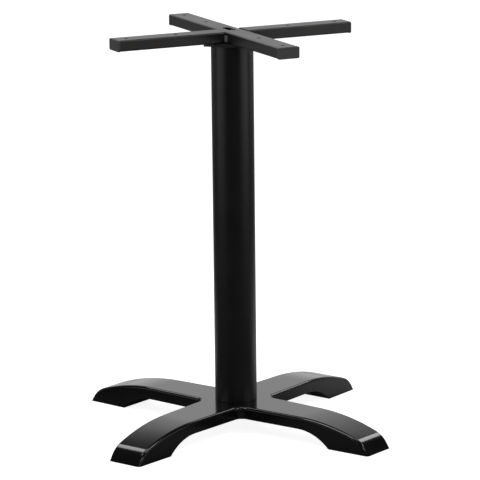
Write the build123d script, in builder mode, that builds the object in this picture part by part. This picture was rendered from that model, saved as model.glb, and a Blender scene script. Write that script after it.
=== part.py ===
from build123d import *
import math
import os

# Table base, in mm: a cast foot with four arched legs, a round column and a welded tube cross.
# The floor is z = 0 and the column stands on the z axis. The legs point along +X, +Y, -X and -Y.

# Cast foot, with heights taken from the rim of its feet
casting_height = 49.0
arm_depth = 22.0
leg_reach = 320.5
foot_length = 84.5
leg_count = 4
leg_root_width = 91.0
leg_tip_width = 69.8
crown_start = 167.0
toe_setback = 14.0
toe_height = 22.4
toe_radius = 44.0
arch_start = 169.0
draft = 2.0
crotch_radius = 14.0
edge_chamfer = 3.4
casting_wall = 5.0
web_thickness = 5.0
rib_thickness = 4.0
rib_recess = 2.0
hub_ring_width = 6.0
rod_boss_radius = 17.0
rod_boss_recess = 5.0
spigot_height = 5.0
spigot_wall = 4.0

# Glides, pushed into bosses in the feet
glide_proud = 1.0
glide_thickness = 5.0
glide_radius = 16.0
glide_from_rim = 43.0
stem_radius = 4.0
stem_length = 14.0
stem_clearance = 0.1
stem_end_gap = 1.0
glide_boss_radius = 9.0

# Column and the plate on its top
column_radius = 38.0
column_wall = 2.0
column_length = 652.0
plate_side = 80.0
plate_thickness = 6.0
plate_corner = 2.0
lug_width = 12.0
lug_depth = 5.0
lug_height = 8.0
column_clearance = 0.25

# Tube cross, turned from the legs
cross_angle = -26.65
arm_count = 4
bar_length = 450.0
bar_width = 40.0
bar_height = 20.0
bar_wall = 2.0
bar_corner = 3.0
screw_radius = 3.0
driver_radius = 6.0
outer_screw_inset = 20.0
inner_screw_inset = 115.0
slot_length = 38.0
slot_width = 14.0
slot_shift = -12.0

# Plastic caps in the tube ends
cap_flange = 4.0
cap_lip = 0.6
cap_edge = 1.0
cap_plug = 14.0
cap_wall = 1.6
cap_fin = 1.2
cap_fin_rise = 1.2
cap_fin_count = 2
cap_clearance = 0.1

# Welds
weld_leg = 4.0
weld_bulge = 0.62
weld_length = 12.5
weld_drop = 6.0
plate_weld_length = 18.0
plate_weld_place = 27.0

# Tie rod and its nuts
rod_radius = 5.0
rod_clearance = 0.5
rod_end_recess = 0.8
rod_tail = 4.0
rod_chamfer = 1.0
nut_flats = 17.0
nut_height = 8.0
nut_sides = 6
thread_clearance = 0.1
washer_radius = 10.0
washer_thickness = 2.0

# Heights and radii worked out from these
rim_z = glide_proud
hub_top = rim_z + casting_height
column_top = hub_top + column_length
plate_top = column_top + plate_thickness
bar_top = plate_top + bar_height
column_bore = column_radius - column_wall
spigot_radius = column_bore - column_clearance
lug_reach = math.sqrt(spigot_radius**2 - (lug_width / 2) ** 2)
foot_inner = leg_reach - foot_length
arm_under = casting_height - arm_depth
channel_end = arch_start
pocket_start = channel_end + web_thickness
pocket_open = 2 * casting_wall
glide_circle = leg_reach - glide_from_rim
rod_hole = rod_radius + rod_clearance
boss_under = rim_z + arm_under + rod_boss_recess
rod_foot = boss_under - washer_thickness - nut_height - rod_tail
rod_head = bar_top - rod_end_recess
leg_angle = 360.0 / leg_count
arm_angle = 360.0 / arm_count
outer_screw_circle = bar_length / 2 - outer_screw_inset
inner_screw_circle = bar_length / 2 - inner_screw_inset

# Planes of the leg outlines, and of the top and the underside of the cross
along_x = Plane(origin=(0, 0, rim_z), x_dir=(1, 0, 0), z_dir=(0, -1, 0))
along_y = Plane(origin=(0, 0, rim_z), x_dir=(0, 1, 0), z_dir=(1, 0, 0))
cross = Plane.XY.offset(bar_top).rotated((0, 0, cross_angle))
cross_under = cross.offset(-bar_height)

os.makedirs("parts", exist_ok=True)


def save(piece, name):
    """Label a finished piece and write it under its node's name."""
    piece.label = name
    export_step(piece, f"parts/{name}.step")


def leg_half_width(reach):
    """Return half a leg's width at the level of the rim, at a distance from the axis."""
    return (leg_root_width + (leg_tip_width - leg_root_width) * reach / leg_reach) / 2


def cross_plan(inset, level):
    """Return the plan of the four legs at a level over the rim, drawn in by an inset."""
    narrowing = inset + level * math.tan(math.radians(draft))
    past_toe = leg_reach + casting_height
    root = leg_half_width(0) - narrowing
    tip = leg_half_width(past_toe) - narrowing
    with BuildSketch(Plane.XY.offset(rim_z + level)) as plan:
        with PolarLocations(0, leg_count):
            Polygon((0, -root), (past_toe, -tip), (past_toe, tip), (0, root), align=None)
        fillet(plan.vertices().sort_by_distance((0, 0, 0))[:leg_count], crotch_radius + inset)
    return plan.sketch


def leg_outline(plane, wall):
    """Return the side outline of two opposite legs, run on below the rim and drawn in by a wall."""
    toe = (leg_reach - toe_setback, toe_height)
    spread = pocket_open * toe_setback / toe_height
    with BuildSketch(plane) as outline:
        with BuildLine():
            top = Line((0, casting_height), (crown_start, casting_height))
            crown = TangentArc(top @ 1, toe, tangent=top % 1)
            front = Line(crown @ 1, (leg_reach + spread, -pocket_open))
            sole = Polyline(front @ 1, (foot_inner, -pocket_open), (foot_inner, 0))
            arch = TangentArc((arch_start, arm_under), sole @ 1, tangent=(1, 0))
            Polyline(arch @ 0, (0, arm_under), top @ 0)
        make_face()
        fillet(outline.vertices().sort_by_distance(toe)[0], toe_radius)
        if wall:
            offset(amount=-wall, mode=Mode.REPLACE)
        mirror(about=Plane.YZ)
    return outline.sketch


# Cast foot: the outside, as the leg outlines cut to the plan
with BuildPart() as blank:
    for outline_plane in (along_x, along_y):
        extrude(leg_outline(outline_plane, 0), amount=leg_root_width, both=True)
    extrude(cross_plan(0, 0), amount=casting_height + casting_wall, taper=draft, mode=Mode.INTERSECT)
    steepest = math.sin(math.radians(2 * draft))
    walls = blank.faces().filter_by(lambda face: abs(face.normal_at().Z) < steepest)
    uppers = blank.faces().filter_by(lambda face: face.normal_at().Z > steepest)
    chamfer(walls.edges() & uppers.edges(), edge_chamfer)

# The hollows below: a ribbed channel under the hub and arms, and a pocket in each foot
with BuildPart() as channel:
    extrude(cross_plan(casting_wall, 0), amount=casting_height - casting_wall, taper=draft)
    with BuildSketch(Plane.XY.offset(rim_z)):
        Rectangle(2 * channel_end, 2 * channel_end)
    extrude(amount=casting_height, mode=Mode.INTERSECT)
    with BuildSketch(Plane.XY.offset(rim_z + arm_under + rib_recess)):
        Circle(column_radius + hub_ring_width / 2)
        Circle(column_radius - hub_ring_width / 2, mode=Mode.SUBTRACT)
        with PolarLocations(0, leg_count):
            Rectangle(channel_end, rib_thickness, align=(Align.MIN, Align.CENTER))
        Circle(rod_boss_radius, mode=Mode.SUBTRACT)
    extrude(amount=casting_height, mode=Mode.SUBTRACT)
    with BuildSketch(Plane.XY.offset(boss_under)):
        Circle(rod_boss_radius)
    extrude(amount=casting_height, mode=Mode.SUBTRACT)

with BuildPart() as pockets:
    for outline_plane in (along_x, along_y):
        extrude(leg_outline(outline_plane, casting_wall), amount=leg_root_width, both=True)
    extrude(
        cross_plan(casting_wall, -pocket_open),
        amount=casting_height + pocket_open,
        taper=draft,
        mode=Mode.INTERSECT,
    )
    with BuildSketch(Plane.XY.offset(rim_z)):
        Rectangle(2 * pocket_start, 2 * pocket_start)
    extrude(amount=casting_height, mode=Mode.SUBTRACT)
    with BuildSketch(Plane.XY.offset(glide_thickness)):
        with PolarLocations(glide_circle, leg_count):
            Circle(glide_boss_radius)
    extrude(amount=casting_height, mode=Mode.SUBTRACT)

with BuildPart() as base_casting:
    add(blank.part)
    add(channel.part, mode=Mode.SUBTRACT)
    add(pockets.part, mode=Mode.SUBTRACT)
    with BuildSketch(Plane.XY.offset(hub_top)):
        Circle(spigot_radius)
        Circle(spigot_radius - spigot_wall, mode=Mode.SUBTRACT)
    extrude(amount=spigot_height)
    with BuildSketch(Plane.XY.offset(rim_z)):
        Circle(rod_hole)
    extrude(amount=casting_height, mode=Mode.SUBTRACT)
    with BuildSketch(Plane.XY.offset(glide_thickness)):
        with PolarLocations(glide_circle, leg_count):
            Circle(stem_radius + stem_clearance)
    extrude(amount=stem_length + stem_end_gap, mode=Mode.SUBTRACT)
save(base_casting.part, "base_casting")

# Glides: a round pad with a stem
for index in range(leg_count):
    turn = math.radians(index * leg_angle)
    place = (glide_circle * math.cos(turn), glide_circle * math.sin(turn), 0)
    with BuildPart() as foot_glide:
        with BuildSketch(Plane(origin=place)):
            Circle(glide_radius)
        extrude(amount=glide_thickness)
        with BuildSketch(Plane(origin=place).offset(glide_thickness)):
            Circle(stem_radius)
        extrude(amount=stem_length)
    save(foot_glide.part, f"foot_glide_{index + 1}")

# Column
with BuildPart() as column_tube:
    with BuildSketch(Plane.XY.offset(hub_top)):
        Circle(column_radius)
        Circle(column_bore, mode=Mode.SUBTRACT)
    extrude(amount=column_length)
save(column_tube.part, "column_tube")

# Plate with its corners under the bars, and lugs that centre it in the column
plate_under = Plane.XY.offset(column_top).rotated((0, 0, cross_angle + arm_angle / 2))
with BuildPart() as top_plate:
    with BuildSketch(plate_under):
        RectangleRounded(plate_side, plate_side, plate_corner)
        Circle(rod_hole, mode=Mode.SUBTRACT)
    extrude(amount=plate_thickness)
    with BuildSketch(plate_under):
        with PolarLocations(lug_reach, arm_count):
            Rectangle(lug_depth, lug_width, align=(Align.MAX, Align.CENTER))
    extrude(amount=-lug_height)
save(top_plate.part, "top_plate")


def section_plane(turn, distance):
    """Return the plane across an arm of the cross, its centre at the bars' mid height, facing outward."""
    arm = cross.rotated((0, 0, turn)).offset(-bar_height / 2)
    return Plane(origin=arm.from_local_coords((distance, 0, 0)), x_dir=arm.y_dir, z_dir=arm.x_dir)


def tube_section(plane):
    """Return the section of the rectangular tube."""
    bore_width = bar_width - 2 * bar_wall
    bore_height = bar_height - 2 * bar_wall
    with BuildSketch(plane) as section:
        RectangleRounded(bar_width, bar_height, bar_corner)
        Rectangle(bore_width, bore_height, mode=Mode.SUBTRACT)
    return section.sketch


def arm_holes(plane, turns, radius):
    """Return circles at the screw places of the arms of the cross that point at the turns given."""
    with BuildSketch(plane) as holes:
        for turn in turns:
            for circle in (inner_screw_circle, outer_screw_circle):
                with PolarLocations(circle, 1, start_angle=turn):
                    Circle(radius)
    return holes.sketch


# Through bar, with a slot over the end of the tie rod
with BuildPart() as long_bar:
    extrude(tube_section(section_plane(0, -bar_length / 2)), amount=bar_length)
    both_ends = (0, 2 * arm_angle)
    extrude(arm_holes(cross, both_ends, screw_radius), amount=-bar_height / 2, mode=Mode.SUBTRACT)
    extrude(arm_holes(cross_under, both_ends, driver_radius), amount=bar_height / 2, mode=Mode.SUBTRACT)
    with BuildSketch(cross):
        with Locations((slot_shift, 0)):
            SlotOverall(slot_length, slot_width)
    extrude(amount=-bar_height / 2, mode=Mode.SUBTRACT)
    with BuildSketch(cross_under):
        Circle(rod_hole)
    extrude(amount=bar_height / 2, mode=Mode.SUBTRACT)
save(long_bar.part, "long_bar")

# Short bars, butted to the sides of the through bar
for side, turn in (("right", arm_angle), ("left", -arm_angle)):
    with BuildPart() as short_bar:
        extrude(tube_section(section_plane(turn, bar_width / 2)), amount=(bar_length - bar_width) / 2)
        extrude(arm_holes(cross, [turn], screw_radius), amount=-bar_height / 2, mode=Mode.SUBTRACT)
        extrude(arm_holes(cross_under, [turn], driver_radius), amount=bar_height / 2, mode=Mode.SUBTRACT)
    save(short_bar.part, f"short_bar_{side}")

# Caps: a flange with a finned plug, flush with the top of the bars
for index in range(arm_count):
    face_plane = section_plane(index * arm_angle, bar_length / 2)
    plug_width = bar_width - 2 * bar_wall - 2 * cap_clearance
    plug_height = bar_height - 2 * bar_wall - 2 * cap_clearance
    core_width = plug_width - 2 * cap_fin_rise
    core_height = plug_height - 2 * cap_fin_rise
    with BuildPart() as end_cap:
        with BuildSketch(face_plane):
            with Locations((0, -cap_lip / 2)):
                RectangleRounded(bar_width + 2 * cap_lip, bar_height + cap_lip, bar_corner)
        extrude(amount=cap_flange)
        outward = Axis(face_plane.origin, face_plane.z_dir)
        chamfer(end_cap.faces().sort_by(outward)[-1].edges(), cap_edge)
        with BuildSketch(face_plane):
            Rectangle(core_width, core_height)
            Rectangle(core_width - 2 * cap_wall, core_height - 2 * cap_wall, mode=Mode.SUBTRACT)
        extrude(amount=-cap_plug)
        for fin in range(cap_fin_count):
            fin_depth = (fin + 1) * cap_plug / (cap_fin_count + 1)
            with BuildSketch(face_plane.offset(-fin_depth)):
                Rectangle(plug_width, plug_height)
                Rectangle(core_width - 2 * cap_wall, core_height - 2 * cap_wall, mode=Mode.SUBTRACT)
            extrude(amount=-cap_fin)
    save(end_cap.part, f"end_cap_{index + 1}")


def bead_section(corner):
    """Return the section of a bead that fills the +x +y corner of a plane."""
    crest = weld_leg * weld_bulge
    with BuildSketch(corner) as section:
        with BuildLine():
            face = ThreePointArc((weld_leg, 0), (crest, crest), (0, weld_leg))
            Polyline(face @ 1, (0, 0), face @ 0)
        make_face()
    return section.sketch


# Welds: upright ones where the bars meet, and ones along the plate's edges under the bars
with BuildPart() as weld_beads:
    for index in range(arm_count):
        arm = cross.rotated((0, 0, index * arm_angle))
        meeting = (bar_width / 2, bar_width / 2, -weld_drop - weld_length / 2)
        upright = Plane(arm.from_local_coords(meeting), arm.x_dir, arm.z_dir)
        extrude(bead_section(upright), amount=weld_length / 2, both=True)
        edge = cross_under.rotated((0, 0, (index + 1 / 2) * arm_angle))
        for way in (-1, 1):
            seat = edge.from_local_coords((plate_side / 2, way * plate_weld_place, 0))
            flat = Plane(seat, edge.x_dir, edge.y_dir)
            extrude(bead_section(flat), amount=plate_weld_length / 2, both=True)
save(weld_beads.part, "weld_beads")

# Tie rod with its washer and nuts
with BuildPart() as tie_rod:
    with BuildSketch(Plane.XY.offset(rod_foot)):
        Circle(rod_radius)
    extrude(amount=rod_head - rod_foot)
    chamfer(tie_rod.edges().filter_by(GeomType.CIRCLE), rod_chamfer)
save(tie_rod.part, "tie_rod")

with BuildPart() as bottom_washer:
    with BuildSketch(Plane.XY.offset(boss_under)):
        Circle(washer_radius)
        Circle(rod_hole, mode=Mode.SUBTRACT)
    extrude(amount=-washer_thickness)
save(bottom_washer.part, "bottom_washer")

for name, nut_under in (
    ("bottom_nut", boss_under - washer_thickness - nut_height),
    ("captive_nut", column_top - nut_height),
):
    with BuildPart() as nut:
        with BuildSketch(Plane.XY.offset(nut_under)):
            RegularPolygon(nut_flats / 2, nut_sides, major_radius=False)
            Circle(rod_radius + thread_clearance, mode=Mode.SUBTRACT)
        extrude(amount=nut_height)
    save(nut.part, name)
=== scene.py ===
import logging
import math
from dataclasses import dataclass
from enum import Enum
from typing import Any, Callable, Mapping, Sequence

import bmesh
import bpy
from mathutils import Matrix, Quaternion, Vector


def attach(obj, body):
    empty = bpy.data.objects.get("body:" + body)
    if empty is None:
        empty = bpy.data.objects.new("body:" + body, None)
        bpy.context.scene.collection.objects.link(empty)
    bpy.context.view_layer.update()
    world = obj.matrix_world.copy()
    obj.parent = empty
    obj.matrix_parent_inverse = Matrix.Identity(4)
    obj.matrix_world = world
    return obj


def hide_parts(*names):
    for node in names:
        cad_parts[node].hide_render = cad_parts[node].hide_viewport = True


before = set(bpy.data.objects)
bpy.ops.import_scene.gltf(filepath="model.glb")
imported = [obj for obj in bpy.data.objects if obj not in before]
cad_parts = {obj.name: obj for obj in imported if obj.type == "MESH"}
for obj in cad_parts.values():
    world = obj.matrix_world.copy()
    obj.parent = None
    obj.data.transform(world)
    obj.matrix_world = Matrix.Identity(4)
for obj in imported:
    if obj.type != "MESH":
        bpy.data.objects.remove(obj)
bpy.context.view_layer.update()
BODY = "root"
UP = (0.0, 0.0, 1.0)
LEVEL = (1.0, 1.0, 0.0)
CROSS_ANGLE = -26.65
NOISE_MIDDLE = 0.5

Colour = tuple[float, float, float]
Point = tuple[float, float, float]
Span = tuple[float, float]

log = logging.getLogger("table_base")


class Slot(Enum):
    """The record's material slots."""

    CASTING = "casting_paint"
    COLUMN = "column_paint"
    BAR = "bar_paint"
    WELD = "weld_paint"
    CAP = "cap_plastic"
    ZINC = "zinc_steel"
    ROD = "black_steel"
    GLIDE = "glide_plastic"


class Value:
    """A shader socket that takes part in Python expressions."""

    def __init__(self, graph: "Graph", socket: bpy.types.NodeSocket) -> None:
        """Keep the graph and the socket."""
        self.graph = graph
        self.socket = socket

    def _math(self, operation: str, first: "Value | float", second: "Value | float") -> "Value":
        """Add one Math node for two operands."""
        return self.graph.node("ShaderNodeMath", {"operation": operation}, {0: first, 1: second})

    def __add__(self, other: "Value | float") -> "Value":
        """Return self + other."""
        return self._math("ADD", self, other)

    def __radd__(self, other: float) -> "Value":
        """Return other + self."""
        return self._math("ADD", other, self)

    def __sub__(self, other: "Value | float") -> "Value":
        """Return self - other."""
        return self._math("SUBTRACT", self, other)

    def __rsub__(self, other: float) -> "Value":
        """Return other - self."""
        return self._math("SUBTRACT", other, self)

    def __mul__(self, other: "Value | float") -> "Value":
        """Return self * other."""
        return self._math("MULTIPLY", self, other)

    def __rmul__(self, other: float) -> "Value":
        """Return other * self."""
        return self._math("MULTIPLY", other, self)

    def size(self) -> "Value":
        """Return the value without its sign."""
        return self._math("ABSOLUTE", self, 0.0)

    def most(self, other: "Value | float") -> "Value":
        """Return the larger of two values."""
        return self._math("MAXIMUM", self, other)

    def least(self, other: "Value | float") -> "Value":
        """Return the smaller of two values."""
        return self._math("MINIMUM", self, other)

    def step(self, low: float, high: float) -> "Value":
        """Return a smooth step from 0 at low to 1 at high.

        Args:
            low: The value that gives 0.
            high: The value that gives 1.

        Returns:
            The stepped value.
        """
        settings = {"interpolation_type": "SMOOTHSTEP"}
        inputs = {"Value": self, "From Min": low, "From Max": high}
        return self.graph.node("ShaderNodeMapRange", settings, inputs)


class Graph:
    """The node tree of a material or of the world."""

    SPECK_CORE = 0.5
    MIX_SHARE, MIX_FIRST, MIX_SECOND, MIX_COLOUR = 0, 6, 7, 2

    def __init__(self, tree: bpy.types.NodeTree) -> None:
        """Take over an emptied tree."""
        self.tree = tree
        tree.nodes.clear()

    def node(
        self,
        kind: str,
        settings: Mapping[str, Any] | None = None,
        inputs: Mapping[str | int, Any] | None = None,
        output: str | int = 0,
    ) -> Value:
        """Add a node.

        Args:
            kind: The node's type.
            settings: Its own settings, set first.
            inputs: Values or links of its sockets, by name or number.
            output: The output that is handed on.

        Returns:
            The chosen output.
        """
        made = self.tree.nodes.new(kind)
        for name, setting in (settings or {}).items():
            setattr(made, name, setting)
        for name, given in (inputs or {}).items():
            socket = made.inputs[name]
            if isinstance(given, Value):
                self.tree.links.new(given.socket, socket)
            else:
                socket.default_value = given
        return Value(self, made.outputs[output])

    def end(self, kind: str, shader: Value) -> None:
        """Lead the finished shader to an output node."""
        output = self.tree.nodes.new(kind)
        self.tree.links.new(shader.socket, output.inputs["Surface"])

    def place(self) -> Value:
        """Return the surface point in object coordinates."""
        return self.node("ShaderNodeTexCoord", output="Object")

    def along(self, vector: Value, direction: Sequence[float]) -> Value:
        """Return a vector's part along a direction."""
        settings = {"operation": "DOT_PRODUCT"}
        inputs = {0: vector, 1: tuple(direction)}
        return self.node("ShaderNodeVectorMath", settings, inputs, "Value")

    def level(self, vector: Value) -> Value:
        """Return a vector without its rise."""
        return self.node("ShaderNodeVectorMath", {"operation": "MULTIPLY"}, {0: vector, 1: LEVEL})

    def unit(self, vector: Value) -> Value:
        """Return a vector at length 1."""
        return self.node("ShaderNodeVectorMath", {"operation": "NORMALIZE"}, {0: vector})

    def length(self, vector: Value) -> Value:
        """Return a vector's length."""
        return self.node("ShaderNodeVectorMath", {"operation": "LENGTH"}, {0: vector}, "Value")

    def ray(self, kind: str) -> Value:
        """Return 1 where the ray is of a kind, such as Is Camera Ray."""
        return self.node("ShaderNodeLightPath", output=kind)

    def noise(self, place: Value, size: float, detail: float = 2.0) -> Value:
        """Return a noise from 0 to 1.

        Args:
            place: The coordinates it follows.
            size: The width of its patches in metres.
            detail: Its finer octaves.

        Returns:
            The noise value.
        """
        inputs = {"Vector": place, "Scale": 1 / size, "Detail": detail}
        return self.node("ShaderNodeTexNoise", None, inputs)

    def cells(self, place: Value, spacing: float) -> Value:
        """Return the distance from the middle of the nearest cell.

        Args:
            place: The coordinates the cells follow.
            spacing: The width of a cell in metres.

        Returns:
            The distance as a share of a cell.
        """
        inputs = {"Vector": place, "Scale": 1 / spacing}
        return self.node("ShaderNodeTexVoronoi", None, inputs, "Distance")

    def specks(self, place: Value, spacing: float, radius: float) -> Value:
        """Return round specks, one in each cell, as a mask.

        Args:
            place: The coordinates they follow.
            spacing: The width of a cell in metres.
            radius: A speck's radius as a share of a cell.

        Returns:
            A mask that is 1 on a speck.
        """
        return 1 - self.cells(place, spacing).step(radius * self.SPECK_CORE, radius)

    def blend(self, share: Value | float, first: Colour, second: Colour) -> Value:
        """Return a mix of two colours.

        Args:
            share: The share of the second colour.
            first: The colour at 0.
            second: The colour at 1.

        Returns:
            The mixed colour.
        """
        inputs = {
            self.MIX_SHARE: share,
            self.MIX_FIRST: (*first, 1.0),
            self.MIX_SECOND: (*second, 1.0),
        }
        return self.node("ShaderNodeMix", {"data_type": "RGBA"}, inputs, self.MIX_COLOUR)

    def bump(self, height: Value) -> Value:
        """Return a normal that is bumped by a height in metres."""
        inputs = {"Strength": 1.0, "Distance": 1.0, "Height": height}
        return self.node("ShaderNodeBump", None, inputs)


@dataclass(frozen=True)
class BlackPaint:
    """A black coat on metal with its grain, slow waves, changing sheen and a little dust.

    A coat with a rise span is painted dark below that span of height, as painted shade under the
    bars, and painted pale above it, as a painted highlight. One with a reach span is painted dark
    near the column's axis, as painted shade where the bars meet, and paler beyond that span of
    distance from the axis. Round the screw holes, at the hole_rings' distances from that axis on
    the arms of a cross, the coat is dull and painted darker, as painted shade in the holes. Sizes
    are in metres and angles in degrees.
    """

    name: str
    colour: Colour
    dust_and_light: Colour
    roughness: float
    sheen_drift: float
    grain: float
    grain_height: float
    wave: float
    wave_height: float
    specular: float
    ripple_height: float = 0.0
    painted_light_rise: Span | None = None
    painted_shade_reach: Span | None = None
    hole_rings: tuple[float, ...] = ()
    hole_angle: float = 0.0

    HOLE_EDGE = (0.0030, 0.0042)
    HOLE_DULL = 0.9
    PAINTED_LIGHT_LEAST = 0.5
    RIPPLE = 0.0021
    CLOUD = 0.09
    CLOUD_EDGE = (0.42, 0.75)
    CLOUD_DUST = 0.55
    CLOUD_DETAIL = 3.0
    SPECK_SPACING = 0.021
    SPECK_RADIUS = 0.03
    SPECK_DUST = 0.45
    GRAIN_DUST = 0.12
    GRAIN_DETAIL = 1.0

    def painted_shading(self, dust_and_shade: Value, where: Value) -> Value:
        """Return painted shade where a mask is 0 and painted light where it is 1."""
        return (dust_and_shade * (1 - self.PAINTED_LIGHT_LEAST) + self.PAINTED_LIGHT_LEAST) * where

    def holes(self, graph: Graph, place: Value) -> Value:
        """Return a mask that is 1 in the screw holes and fades round them.

        Args:
            graph: The material's graph.
            place: The coordinates it follows.

        Returns:
            The mask.
        """
        turn = math.radians(self.hole_angle)
        along = graph.along(place, (math.cos(turn), math.sin(turn), 0)).size()
        across = graph.along(place, (-math.sin(turn), math.cos(turn), 0)).size()
        beside = along.least(across)
        inner, outer = (edge**2 for edge in self.HOLE_EDGE)
        rest: Value | float = 1.0
        for ring in self.hole_rings:
            short = along.most(across) - ring
            rest = rest * (short * short + beside * beside).step(inner, outer)
        return 1 - rest

    def material(self) -> bpy.types.Material:
        """Return the finish as a material."""
        made = bpy.data.materials.new(self.name)
        made.use_nodes = True
        graph = Graph(made.node_tree)
        place = graph.place()
        fine = graph.noise(place, self.grain, self.GRAIN_DETAIL)
        slow = graph.noise(place, self.wave, self.GRAIN_DETAIL)
        cloud = graph.noise(place, self.CLOUD, self.CLOUD_DETAIL)
        specks = graph.specks(place, self.SPECK_SPACING, self.SPECK_RADIUS)
        dust_and_shade = cloud.step(*self.CLOUD_EDGE) * self.CLOUD_DUST
        dust_and_shade = dust_and_shade + specks * self.SPECK_DUST + fine * self.GRAIN_DUST
        # Painted shade and highlight by height: below the span the coat is painted dark, as shade
        # under the bars, and above it painted pale, as a highlight.
        if self.painted_light_rise:
            dust_and_shade = self.painted_shading(dust_and_shade, graph.along(place, UP).step(*self.painted_light_rise))
        # Painted shade by reach: near the column's axis the coat is painted dark, as shade where
        # the bars meet, and paler further out.
        if self.painted_shade_reach:
            dust_and_shade = self.painted_shading(dust_and_shade, graph.length(graph.level(place)).step(*self.painted_shade_reach))
        gloss = self.roughness + (cloud - NOISE_MIDDLE) * self.sheen_drift
        gloss = gloss + (fine - NOISE_MIDDLE) * (self.sheen_drift / 2)
        # Painted shade in the screw holes: the colour is darkened in and round them; the roughness
        # rise there is the coat's dullness.
        if self.hole_rings:
            holes = self.holes(graph, place)
            dust_and_shade = dust_and_shade * (1 - holes)
            gloss = gloss + holes * (self.HOLE_DULL - self.roughness)
        height = fine * self.grain_height + slow * self.wave_height + specks * self.grain_height
        if self.ripple_height:
            height = height - graph.cells(place, self.RIPPLE) * self.ripple_height
        shader = graph.node(
            "ShaderNodeBsdfPrincipled",
            None,
            {
                "Base Color": graph.blend(dust_and_shade, self.colour, self.dust_and_light),
                "Roughness": gloss,
                "Specular IOR Level": self.specular,
                "Normal": graph.bump(height),
            },
        )
        graph.end("ShaderNodeOutputMaterial", shader)
        return made


@dataclass(frozen=True)
class MouldedPlastic:
    """A dark plastic with the fine texture of its mould."""

    name: str
    colour: Colour
    worn: Colour
    roughness: float
    grain: float
    grain_height: float

    PATCH = 0.014
    PATCH_SHARE = 0.5
    SHEEN_DRIFT = 0.12

    def material(self) -> bpy.types.Material:
        """Return the finish as a material."""
        made = bpy.data.materials.new(self.name)
        made.use_nodes = True
        graph = Graph(made.node_tree)
        place = graph.place()
        fine = graph.noise(place, self.grain)
        patch = graph.noise(place, self.PATCH)
        wear = fine * (1 - self.PATCH_SHARE) + patch * self.PATCH_SHARE
        shader = graph.node(
            "ShaderNodeBsdfPrincipled",
            None,
            {
                "Base Color": graph.blend(wear, self.colour, self.worn),
                "Roughness": self.roughness + (patch - NOISE_MIDDLE) * self.SHEEN_DRIFT,
                "Normal": graph.bump(fine * self.grain_height),
            },
        )
        graph.end("ShaderNodeOutputMaterial", shader)
        return made


@dataclass(frozen=True)
class PlatedSteel:
    """A thin plating on steel, with faint drawing marks, cloudy patches and a rod's thread."""

    name: str
    colour: Colour
    cloudy: Colour
    roughness: float
    thread_pitch: float = 0.0
    thread_radius: float = 0.0

    CLOUD = 0.006
    CLOUD_DRIFT = 0.2
    CLOUD_DETAIL = 4.0
    MARK = 0.0008
    MARK_DRIFT = 0.1
    MARK_HEIGHT = 0.000004
    THREAD_DEPTH = 0.0009
    HALF_PITCH = 0.5
    THREAD_INNER = (0.90, 0.96)
    THREAD_OUTER = (1.02, 1.05)

    def thread(self, graph: Graph, place: Value) -> Value:
        """Return the height of a screw thread that winds round the z axis.

        Args:
            graph: The material's graph.
            place: The coordinates it follows.

        Returns:
            The height, which is 0 away from the rod's side.
        """
        east, north = graph.along(place, (1, 0, 0)), graph.along(place, (0, 1, 0))
        angle = graph.node("ShaderNodeMath", {"operation": "ARCTAN2"}, {0: north, 1: east})
        turns = graph.along(place, UP) * (1 / self.thread_pitch) + angle * (1 / math.tau)
        inputs = {0: turns, 1: self.HALF_PITCH}
        ridge = graph.node("ShaderNodeMath", {"operation": "PINGPONG"}, inputs)
        reach = graph.length(graph.level(place)) * (1 / self.thread_radius)
        side = reach.step(*self.THREAD_INNER) * (1 - reach.step(*self.THREAD_OUTER))
        return ridge * side * self.THREAD_DEPTH

    def material(self) -> bpy.types.Material:
        """Return the finish as a material."""
        made = bpy.data.materials.new(self.name)
        made.use_nodes = True
        graph = Graph(made.node_tree)
        place = graph.place()
        cloud = graph.noise(place, self.CLOUD, self.CLOUD_DETAIL)
        mark = graph.noise(place, self.MARK)
        gloss = self.roughness + (cloud - NOISE_MIDDLE) * self.CLOUD_DRIFT
        gloss = gloss + (mark - NOISE_MIDDLE) * self.MARK_DRIFT
        height = mark * self.MARK_HEIGHT
        if self.thread_pitch:
            height = height + self.thread(graph, place)
        shader = graph.node(
            "ShaderNodeBsdfPrincipled",
            None,
            {
                "Base Color": graph.blend(cloud, self.colour, self.cloudy),
                "Metallic": 1.0,
                "Roughness": gloss,
                "Normal": graph.bump(height),
            },
        )
        graph.end("ShaderNodeOutputMaterial", shader)
        return made


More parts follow.
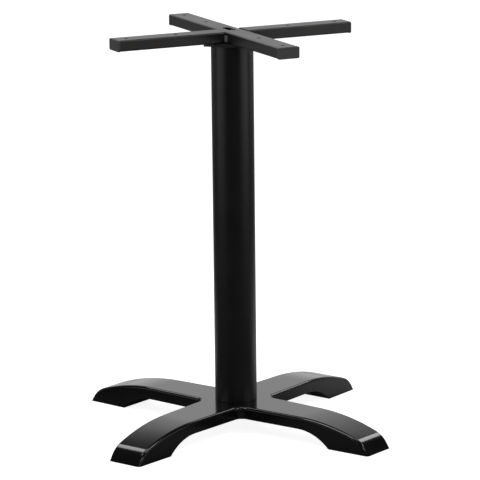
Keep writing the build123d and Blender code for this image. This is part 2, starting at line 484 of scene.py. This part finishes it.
FINISHES: dict[Slot, BlackPaint | MouldedPlastic | PlatedSteel] = {
    Slot.CASTING: BlackPaint(
        "gloss_casting_paint",
        colour=(0.0014, 0.0014, 0.0015),
        dust_and_light=(0.0042, 0.0042, 0.0044),
        roughness=0.125,
        sheen_drift=0.05,
        grain=0.0019,
        grain_height=0.0000012,
        wave=0.016,
        wave_height=0.00004,
        specular=0.42,
    ),
    Slot.COLUMN: BlackPaint(
        "semi_matt_column_coat",
        colour=(0.0025, 0.0025, 0.0025),
        dust_and_light=(0.006, 0.006, 0.006),
        roughness=0.37,
        sheen_drift=0.07,
        grain=0.0010,
        grain_height=0.000006,
        wave=0.010,
        wave_height=0.000004,
        specular=0.5,
    ),
    Slot.BAR: BlackPaint(
        "satin_bar_coat",
        colour=(0.004, 0.0036, 0.0034),
        dust_and_light=(0.024, 0.0218, 0.0210),
        roughness=0.39,
        sheen_drift=0.08,
        grain=0.0009,
        grain_height=0.000008,
        wave=0.008,
        wave_height=0.000005,
        specular=0.5,
        # Painted shade: the bar coat is painted dark near the column, where the bars meet.
        painted_shade_reach=(0.03, 0.10),
        # Painted shade in the screw holes, with a duller coat round them.
        hole_rings=(0.110, 0.205),
        hole_angle=CROSS_ANGLE,
    ),
    Slot.WELD: BlackPaint(
        "satin_weld_coat",
        colour=(0.012, 0.0115, 0.011),
        # Painted shade and highlight: the welds under the bars are painted dark, and those above
        # are painted this pale colour.
        dust_and_light=(0.14, 0.136, 0.132),
        roughness=0.38,
        sheen_drift=0.08,
        grain=0.0009,
        grain_height=0.000008,
        wave=0.004,
        wave_height=0.00002,
        specular=0.5,
        ripple_height=0.00006,
        painted_light_rise=(0.7105, 0.7125),
    ),
    Slot.CAP: MouldedPlastic(
        "cap_plastic",
        colour=(0.030, 0.030, 0.031),
        worn=(0.043, 0.043, 0.044),
        roughness=0.55,
        grain=0.0007,
        grain_height=0.000012,
    ),
    Slot.GLIDE: MouldedPlastic(
        "glide_plastic",
        colour=(0.012, 0.012, 0.012),
        worn=(0.024, 0.024, 0.024),
        roughness=0.62,
        grain=0.0009,
        grain_height=0.00001,
    ),
    Slot.ZINC: PlatedSteel(
        "zinc_plate",
        colour=(0.60, 0.61, 0.63),
        cloudy=(0.48, 0.49, 0.50),
        roughness=0.32,
    ),
    Slot.ROD: PlatedSteel(
        "oil_black_steel",
        colour=(0.040, 0.040, 0.042),
        cloudy=(0.065, 0.064, 0.066),
        roughness=0.40,
        thread_pitch=0.0015,
        thread_radius=0.005,
    ),
}


class PaintShop:
    """Makes each finish once and puts it on pieces."""

    def __init__(self) -> None:
        """Mix every finish."""
        self.materials = {slot: finish.material() for slot, finish in FINISHES.items()}

    def dress(self, piece: bpy.types.Object, slot: Slot, *nodes: str) -> None:
        """Give a new piece its finish and its place in the frame.

        Args:
            piece: The finished piece.
            slot: The finish it takes.
            nodes: The CAD nodes that it stands for.
        """
        piece.data.materials.clear()
        piece.data.materials.append(self.materials[slot])
        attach(piece, BODY)
        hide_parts(*nodes)
        log.info("%s: %d faces, for %s", piece.name, len(piece.data.polygons), ", ".join(nodes))


class Bench:
    """Hand tools on the mesh that is being worked on."""

    ROUND_ANGLE = 40.0
    ROUND_STEPS = 3
    NORMAL_WEIGHT = 70
    WELD_GAP = 1e-6
    FLAT_ANGLE = 0.05

    @staticmethod
    def clear() -> None:
        """Leave edit mode and deselect everything."""
        if bpy.context.object and bpy.context.object.mode != "OBJECT":
            bpy.ops.object.mode_set(mode="OBJECT")
        bpy.ops.object.select_all(action="DESELECT")

    @staticmethod
    def take(piece: bpy.types.Object) -> None:
        """Make one piece the only selected and active one."""
        Bench.clear()
        piece.select_set(True)
        bpy.context.view_layer.objects.active = piece

    @staticmethod
    def begin(name: str) -> bpy.types.Object:
        """Name the primitive just added and put its place into its mesh."""
        piece = bpy.context.active_object
        piece.name = name
        piece.data.name = name
        bpy.ops.object.transform_apply(location=True, rotation=True, scale=True)
        return piece

    @staticmethod
    def pick(piece: bpy.types.Object, mode: str, test: Callable[[Any], bool]) -> None:
        """Open a piece in edit mode and select its edges or faces by a test.

        Args:
            piece: The piece to open.
            mode: EDGE or FACE.
            test: Says which elements are selected.
        """
        if piece.mode != "EDIT":
            Bench.take(piece)
            bpy.ops.object.mode_set(mode="EDIT")
        bpy.ops.mesh.select_mode(type=mode)
        bpy.ops.mesh.select_all(action="DESELECT")
        mesh = bmesh.from_edit_mesh(piece.data)
        for element in mesh.edges if mode == "EDGE" else mesh.faces:
            if test(element):
                element.select_set(True)
        mesh.select_flush_mode()
        bmesh.update_edit_mesh(piece.data)

    @staticmethod
    def modify(piece: bpy.types.Object, kind: str, **settings: Any) -> None:
        """Add a modifier with its settings and apply it."""
        Bench.take(piece)
        modifier = piece.modifiers.new(kind.lower(), kind)
        for name, setting in settings.items():
            setattr(modifier, name, setting)
        bpy.ops.object.modifier_apply(modifier=modifier.name)

    @staticmethod
    def smooth(piece: bpy.types.Object, angle: float) -> None:
        """Shade a piece smooth across edges under an angle, with flat faces kept flat.

        Args:
            piece: The piece to shade.
            angle: The angle in degrees.
        """
        Bench.take(piece)
        bpy.ops.object.shade_smooth_by_angle(angle=math.radians(angle))
        Bench.modify(
            piece,
            "WEIGHTED_NORMAL",
            mode="FACE_AREA",
            weight=Bench.NORMAL_WEIGHT,
            keep_sharp=True,
        )
        Bench.clear()

    @staticmethod
    def merged(node: str, name: str) -> bpy.types.Object:
        """Return a copy of a CAD node with its triangles joined to whole faces.

        Args:
            node: The CAD node's name.
            name: The new piece's name.

        Returns:
            The new piece.
        """
        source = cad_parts[node]
        piece = bpy.data.objects.new(name, source.data.copy())
        bpy.context.scene.collection.objects.link(piece)
        Bench.take(piece)
        bpy.ops.mesh.customdata_custom_splitnormals_clear()
        bpy.ops.object.mode_set(mode="EDIT")
        bpy.ops.mesh.select_all(action="SELECT")
        bpy.ops.mesh.remove_doubles(threshold=Bench.WELD_GAP)
        bpy.ops.mesh.dissolve_limited(angle_limit=math.radians(Bench.FLAT_ANGLE))
        bpy.ops.object.mode_set(mode="OBJECT")
        return piece

    @staticmethod
    def moved(piece: bpy.types.Object, name: str, placing: Matrix) -> bpy.types.Object:
        """Return a copy of a piece with a mesh of its own, put in another place."""
        copy = bpy.data.objects.new(name, piece.data.copy())
        copy.data.name = name
        copy.data.transform(placing)
        bpy.context.scene.collection.objects.link(copy)
        return copy


@dataclass
class CastFoot:
    """The cast foot and the four glides under its toes."""

    glide_radius: float = 0.016
    glide_thickness: float = 0.005
    glide_edge: float = 0.0012
    glide_reach: float = 0.2775
    stem_radius: float = 0.004
    stem_length: float = 0.014
    glide_count: int = 4
    glide_sides: int = 64
    edge_offset: float = 0.0017
    edge_segments: int = 3
    edge_turn: Span = (30.0, 60.0)
    wall_rise: float = 0.02
    flat_rise: float = 0.9
    blend_angle: float = 35.0

    def casting(self) -> bpy.types.Object:
        """Return the casting with the chamfers of its upper edges rounded."""
        piece = Bench.merged("base_casting", "foot_casting")
        least, most = (math.radians(turn) for turn in self.edge_turn)

        def on_chamfer(edge: bmesh.types.BMEdge) -> bool:
            """Say whether an edge runs along a chamfer between outer faces."""
            faces = edge.link_faces
            outside = len(faces) == 2 and all(face.normal.z > self.wall_rise for face in faces)
            return outside and least < edge.calc_face_angle() < most

        Bench.pick(piece, "EDGE", on_chamfer)
        bpy.ops.mesh.bevel(
            offset=self.edge_offset,
            segments=self.edge_segments,
            affect="EDGES",
            clamp_overlap=True,
        )
        Bench.smooth(piece, self.blend_angle)
        return piece

    def glide(self) -> bpy.types.Object:
        """Return one glide on the axis: a round pad with a softened sole and a stem."""
        Bench.clear()
        middle = (0.0, 0.0, self.glide_thickness / 2)
        bpy.ops.mesh.primitive_cylinder_add(
            vertices=self.glide_sides,
            radius=self.glide_radius,
            depth=self.glide_thickness,
            location=middle,
        )
        piece = Bench.begin("glide")
        Bench.pick(piece, "FACE", lambda face: face.normal.z > self.flat_rise)
        bpy.ops.mesh.inset(thickness=self.glide_radius - self.stem_radius)
        bpy.ops.mesh.extrude_region_move(TRANSFORM_OT_translate={"value": (0, 0, self.stem_length)})
        sole = self.glide_thickness / 4

        def on_sole(edge: bmesh.types.BMEdge) -> bool:
            """Say whether an edge lies round the sole."""
            return all(vertex.co.z < sole for vertex in edge.verts) and len(edge.link_faces) == 2

        Bench.pick(piece, "EDGE", on_sole)
        bpy.ops.mesh.bevel(offset=self.glide_edge, segments=Bench.ROUND_STEPS, affect="EDGES")
        Bench.smooth(piece, Bench.ROUND_ANGLE)
        return piece

    def build(self, shop: PaintShop) -> None:
        """Make the casting and the glides, and dress them."""
        shop.dress(self.casting(), Slot.CASTING, "base_casting")
        pattern = self.glide()
        for index in range(self.glide_count):
            turn = Matrix.Rotation(math.tau * index / self.glide_count, 4, "Z")
            placing = turn @ Matrix.Translation((self.glide_reach, 0, 0))
            glide = Bench.moved(pattern, f"toe_glide_{index + 1}", placing)
            shop.dress(glide, Slot.GLIDE, f"foot_glide_{index + 1}")
        bpy.data.objects.remove(pattern)


@dataclass
class Column:
    """The round steel column."""

    radius: float = 0.038
    wall: float = 0.002
    foot: float = 0.050
    length: float = 0.652
    rim: float = 0.0006
    rim_angle: float = 50.0
    sides: int = 160

    def build(self, shop: PaintShop) -> None:
        """Make the tube with its softened rims, and dress it."""
        Bench.clear()
        bpy.ops.mesh.primitive_cylinder_add(
            vertices=self.sides,
            radius=self.radius,
            depth=self.length,
            end_fill_type="NOTHING",
            location=(0, 0, self.foot + self.length / 2),
        )
        tube = Bench.begin("column")
        Bench.modify(tube, "SOLIDIFY", thickness=self.wall, offset=-1.0)
        sharp = math.radians(self.rim_angle)
        Bench.modify(
            tube,
            "BEVEL",
            width=self.rim,
            segments=Bench.ROUND_STEPS,
            limit_method="ANGLE",
            angle_limit=sharp,
        )
        Bench.smooth(tube, Bench.ROUND_ANGLE)
        shop.dress(tube, Slot.COLUMN, "column_tube")


@dataclass
class TubeCross:
    """The welded cross of rectangular tube, its plate, caps and welds."""

    angle: float = CROSS_ANGLE
    bar_top: float = 0.728
    bar_width: float = 0.040
    bar_height: float = 0.020
    plate_side: float = 0.080
    weld_leg: float = 0.004
    weld_bulge: float = 0.62
    weld_length: float = 0.0125
    weld_drop: float = 0.006
    plate_weld_length: float = 0.018
    plate_weld_place: float = 0.027
    bead_sides: int = 48
    ripple: float = 0.0017
    ripple_rise: float = 1.045
    arm_count: int = 4
    gap: float = 0.003
    gap_depth: float = 0.0035
    tube_angle: float = 38.0
    cap_angle: float = 52.0

    def bead(self, length: float) -> bpy.types.Object:
        """Return a rippled weld bead in the +x +y corner of the z axis.

        Args:
            length: The bead's length, with its middle at z = 0.

        Returns:
            The bead.
        """
        leg = self.weld_leg
        crest = leg * self.weld_bulge
        centre = (2 * crest**2 - leg**2) / (2 * (2 * crest - leg))
        radius = math.hypot(leg - centre, centre)
        Bench.clear()
        bpy.ops.mesh.primitive_cylinder_add(
            vertices=self.bead_sides, radius=radius, depth=length, location=(centre, centre, 0)
        )
        piece = Bench.begin("bead")
        rings = 2 * round(length / self.ripple)
        for ring in range(1, rings):
            Bench.pick(piece, "FACE", lambda face: True)
            level = -length / 2 + length * ring / rings
            bpy.ops.mesh.bisect(plane_co=(0, 0, level), plane_no=UP)
        for ring in range(1, rings, 2):
            level = -length / 2 + length * ring / rings
            near = length / rings / 4
            Bench.pick(
                piece,
                "EDGE",
                lambda edge: all(abs(vertex.co.z - level) < near for vertex in edge.verts),
            )
            grow = self.ripple_rise
            bpy.ops.transform.resize(value=(grow, grow, 1), center_override=(centre, centre, level))
        for normal in ((1, 0, 0), (0, 1, 0)):
            Bench.pick(piece, "FACE", lambda face: True)
            bpy.ops.mesh.bisect(
                plane_co=(0, 0, 0), plane_no=normal, clear_inner=True, use_fill=True
            )
        Bench.smooth(piece, Bench.ROUND_ANGLE)
        return piece

    def welds(self) -> bpy.types.Object:
        """Return every bead of the cross as one piece."""
        upright = self.bead(self.weld_length)
        flat = self.bead(self.plate_weld_length)
        made = []
        for index in range(self.arm_count):
            turn = math.radians(self.angle + index * 360 / self.arm_count)
            across = Matrix.Rotation(turn, 4, "Z")
            half = self.bar_width / 2
            middle = self.bar_top - self.weld_drop - self.weld_length / 2
            corner = across @ Matrix.Translation((half, half, middle))
            made.append(Bench.moved(upright, f"bead_{index}", corner))
            edge = Matrix.Rotation(turn + math.pi / self.arm_count, 4, "Z")
            upended = Matrix(((1, 0, 0, 0), (0, 0, 1, 0), (0, -1, 0, 0), (0, 0, 0, 1)))
            for way in (-1, 1):
                beside = way * self.plate_weld_place
                below = self.bar_top - self.bar_height
                seat = Matrix.Translation((self.plate_side / 2, beside, below))
                made.append(Bench.moved(flat, f"bead_{index}_{way}", edge @ seat @ upended))
        Bench.clear()
        for bead in made:
            bead.select_set(True)
        bpy.context.view_layer.objects.active = made[0]
        bpy.ops.object.join()
        piece = bpy.context.active_object
        piece.name = "cross_welds"
        for pattern in (upright, flat):
            bpy.data.objects.remove(pattern)
        return piece

    def open_joint(self, bar: bpy.types.Object) -> None:
        """Cut the gap that the right bar leaves over its joint with the through bar."""
        turn = math.radians(self.angle + 360 / self.arm_count)
        middle = Matrix.Rotation(turn, 3, "Z") @ Vector((self.bar_width / 2, 0, self.bar_top))
        Bench.clear()
        bpy.ops.mesh.primitive_cube_add(
            size=1.0,
            location=middle,
            rotation=(0, 0, turn),
            scale=(2 * self.gap, 2 * self.bar_width, 2 * self.gap_depth),
        )
        cutter = Bench.begin("gap_cutter")
        Bench.modify(bar, "BOOLEAN", operation="DIFFERENCE", object=cutter, solver="EXACT")
        bpy.data.objects.remove(cutter)

    def build(self, shop: PaintShop) -> None:
        """Make the bars, plate, caps and welds, and dress them."""
        for node, name, gapped in (
            ("long_bar", "through_bar", False),
            ("short_bar_right", "right_bar", True),
            ("short_bar_left", "left_bar", False),
            ("top_plate", "column_plate", False),
        ):
            bar = Bench.merged(node, name)
            if gapped:
                self.open_joint(bar)
            Bench.smooth(bar, self.tube_angle)
            shop.dress(bar, Slot.BAR, node)
        for index in range(1, self.arm_count + 1):
            cap = Bench.merged(f"end_cap_{index}", f"tube_cap_{index}")
            Bench.smooth(cap, self.cap_angle)
            shop.dress(cap, Slot.CAP, f"end_cap_{index}")
        shop.dress(self.welds(), Slot.WELD, "weld_beads")


@dataclass
class TieRod:
    """The rod that clamps the column, with its nuts and washer."""

    smooth_angle: float = 38.0

    def build(self, shop: PaintShop) -> None:
        """Make the rod, nuts and washer, and dress them."""
        for node, name, slot in (
            ("tie_rod", "clamp_rod", Slot.ROD),
            ("captive_nut", "plate_nut", Slot.ROD),
            ("bottom_nut", "foot_nut", Slot.ZINC),
            ("bottom_washer", "foot_washer", Slot.ZINC),
        ):
            piece = Bench.merged(node, name)
            Bench.smooth(piece, self.smooth_angle)
            shop.dress(piece, slot, node)


@dataclass
class Softbox:
    """A rectangular studio light, placed as the camera sees it: x right, y away, z up."""

    name: str
    place: Point
    aim: Point
    width: float
    height: float
    power: float


@dataclass
class Studio:
    """The floor, the light and the camera of the picture.

    A pair gives the two ends of a smooth step. Places on the floor are metres from the column.
    """

    azimuth: float = 38.016
    elevation: float = 12.482
    roll: float = -0.627
    distance: float = 5.6575
    target: Point = (0.00809, 0.00633, 0.34468)
    lens: float = 234.99
    sensor: float = 36.0
    sight: float = 60.0
    floor_half: float = 14.0
    ambient: float = 0.45
    front_glow: float = 0.05
    back_glow: float = 0.95
    back_spread: Span = (0.60, 0.93)
    high_loss: float = 0.95
    high_rise: Span = (0.45, 0.74)
    floor_dim: float = 0.05
    floor_bright: float = 0.65
    bright_from: Span = (0.05, 0.36)
    bright_slant: float = 0.2
    bright_left: Span = (-0.9, -0.4)
    bright_right: Span = (0.7, 1.1)
    far_spread: Span = (0.72, 0.92)
    far_reach: Span = (1.2, 2.0)
    floor_near: float = 0.16
    near_reach: Span = (0.12, 0.42)
    floor_pale: float = 0.8
    floor_shade: float = 0.5
    floor_lift: float = 0.89
    softboxes: Sequence[Softbox] = (
        Softbox("overhead_light", (0.0, -0.2, 2.5), (0.0, 0.0, 0.0), 1.0, 0.8, 9.0),
        Softbox("front_light", (0.52, -2.1, 1.5), (0.0, 0.0, 0.05), 1.0, 0.30, 4.2),
        Softbox("left_light", (-1.02, 0.72, 1.72), (0.0, 0.0, 0.05), 0.55, 0.7, 7.2),
        Softbox("right_light", (1.18, 1.14, 1.41), (0.0, 0.0, 0.05), 0.45, 0.6, 4.5),
        Softbox("left_strip", (-0.986, -0.38, 2.0), (-0.05, 0.38, 0.05), 1.0, 0.3, 9.0),
        Softbox("right_strip", (1.34, -0.66, 2.0), (0.18, -0.354, 0.05), 1.1, 0.3, 10.5),
        Softbox("left_panel", (-1.5, -0.74, 0.44), (0.0, -0.74, 0.44), 1.6, 0.25, 2.2),
        Softbox("right_panel", (1.5, -0.74, 0.44), (0.0, -0.74, 0.44), 1.5, 0.25, 2.3),
        Softbox("left_back_panel", (-1.5, 1.0, 0.44), (0.0, 1.0, 0.44), 1.0, 0.25, 0.35),
        Softbox("right_back_panel", (1.5, 1.0, 0.44), (0.0, 1.0, 0.44), 1.0, 0.25, 0.7),
    )

    def away(self) -> Vector:
        """Return the level direction in which the camera looks."""
        return self.seen((0, 1, 0))

    def seen(self, place: Point) -> Vector:
        """Return the frame's point for one given as the camera sees it."""
        return Matrix.Rotation(math.radians(self.azimuth), 3, "Z") @ Vector(place)

    def camera(self) -> None:
        """Put the camera where the photograph was taken."""
        tilt = math.radians(self.elevation)
        look = self.away() * math.cos(tilt) - Vector((0, 0, math.sin(tilt)))
        data = bpy.data.cameras.new("photo_camera")
        data.lens = self.lens
        data.sensor_width = self.sensor
        data.clip_end = self.sight
        camera = bpy.data.objects.new("photo_camera", data)
        camera.rotation_mode = "QUATERNION"
        camera.location = Vector(self.target) - look * self.distance
        level = look.to_track_quat("-Z", "Y")
        camera.rotation_quaternion = level @ Quaternion(UP, math.radians(self.roll))
        bpy.context.scene.collection.objects.link(camera)
        bpy.context.scene.camera = camera

    def lights(self) -> None:
        """Hang the softboxes."""
        for box in self.softboxes:
            data = bpy.data.lights.new(box.name, "AREA")
            data.shape = "RECTANGLE"
            data.size = box.width
            data.size_y = box.height
            data.energy = box.power
            lamp = bpy.data.objects.new(box.name, data)
            lamp.location = self.seen(box.place)
            lamp.rotation_mode = "QUATERNION"
            lamp.rotation_quaternion = (self.seen(box.aim) - lamp.location).to_track_quat("-Z", "Y")
            lamp.visible_camera = False
            bpy.context.scene.collection.objects.link(lamp)

    def world(self) -> None:
        """Set a white background, and for reflections a studio that is dark towards the camera."""
        world = bpy.data.worlds.new("studio")
        bpy.context.scene.world = world
        world.use_nodes = True
        graph = Graph(world.node_tree)
        seen, mirrored = graph.ray("Is Camera Ray"), graph.ray("Is Glossy Ray")
        heading = graph.node("ShaderNodeTexCoord", output="Generated")
        bearing = graph.unit(graph.level(heading))
        backdrop = graph.along(bearing, self.away()).step(*self.back_spread)
        backdrop = backdrop * (1 - graph.along(heading, UP).step(*self.high_rise) * self.high_loss)
        glow = self.front_glow + backdrop * (self.back_glow - self.front_glow)
        unseen = self.ambient + mirrored * (glow - self.ambient)
        strength = unseen + seen * (1 - unseen)
        inputs = {"Color": (1, 1, 1, 1), "Strength": strength}
        light = graph.node("ShaderNodeBackground", None, inputs)
        graph.end("ShaderNodeOutputWorld", light)

    def sheen(self, graph: Graph) -> Value:
        """Return how bright the floor shows in reflections.

        Args:
            graph: The floor's graph.

        Returns:
            A share from 0, dim, to 1, bright.
        """
        place = graph.place()
        across = graph.along(place, self.seen((1, 0, 0)))
        behind = graph.along(place, self.away())
        reach = graph.length(place)
        # Painted light: a pool of light painted on the floor for reflections, bright behind and
        # beside the column and dim in front.
        lit = (behind + across * self.bright_slant).step(*self.bright_from)
        lit = lit * across.step(*self.bright_left) * (1 - across.step(*self.bright_right))
        far = graph.along(graph.unit(place), self.away()).step(*self.far_spread)
        far = far * reach.step(*self.far_reach)
        lit = lit + (1 - lit) * far
        return lit + (1 - lit) * (1 - reach.step(*self.near_reach)) * self.floor_near

    def floor(self) -> None:
        """Lay a pale floor that shows white, keeps the shadow and lets views from below through."""
        Bench.clear()
        bpy.ops.mesh.primitive_plane_add(size=2 * self.floor_half)
        floor = Bench.begin("studio_floor")
        made = bpy.data.materials.new("studio_floor")
        made.use_nodes = True
        graph = Graph(made.node_tree)
        dim, bright = (self.floor_dim,) * 3, (self.floor_bright,) * 3
        pale = graph.node("ShaderNodeBsdfDiffuse", None, {"Color": (*(self.floor_pale,) * 3, 1)})
        shaded = graph.node("ShaderNodeBsdfDiffuse", None, {"Color": (*(self.floor_shade,) * 3, 1)})
        lift = graph.node("ShaderNodeEmission", None, {"Strength": self.floor_lift})
        white = graph.node("ShaderNodeAddShader", None, {0: shaded, 1: lift})
        # Painted light: reflections see the floor in the painted pool of light from sheen.
        mirrored = graph.blend(self.sheen(graph), dim, bright)
        studio = graph.node("ShaderNodeBsdfDiffuse", None, {"Color": mirrored})
        clear = graph.node("ShaderNodeBsdfTransparent")
        below = graph.node("ShaderNodeNewGeometry", output="Backfacing")
        shown = pale
        for share, other in (
            (graph.ray("Is Camera Ray"), white),
            (graph.ray("Is Glossy Ray"), studio),
            (below, clear),
        ):
            shown = graph.node("ShaderNodeMixShader", None, {0: share, 1: shown, 2: other})
        graph.end("ShaderNodeOutputMaterial", shown)
        floor.data.materials.append(made)

    def build(self) -> None:
        """Set up the whole studio."""
        self.world()
        self.floor()
        self.lights()
        self.camera()
        bpy.context.scene.view_settings.view_transform = "Standard"
        log.info("studio: %d softboxes", len(self.softboxes))


def main() -> None:
    """Build and dress the table base, then set up the studio."""
    logging.basicConfig(level=logging.INFO, format="%(name)s: %(message)s")
    shop = PaintShop()
    CastFoot().build(shop)
    Column().build(shop)
    TubeCross().build(shop)
    TieRod().build(shop)
    Studio().build()
    Bench.clear()


if __name__ == "__main__":
    main()
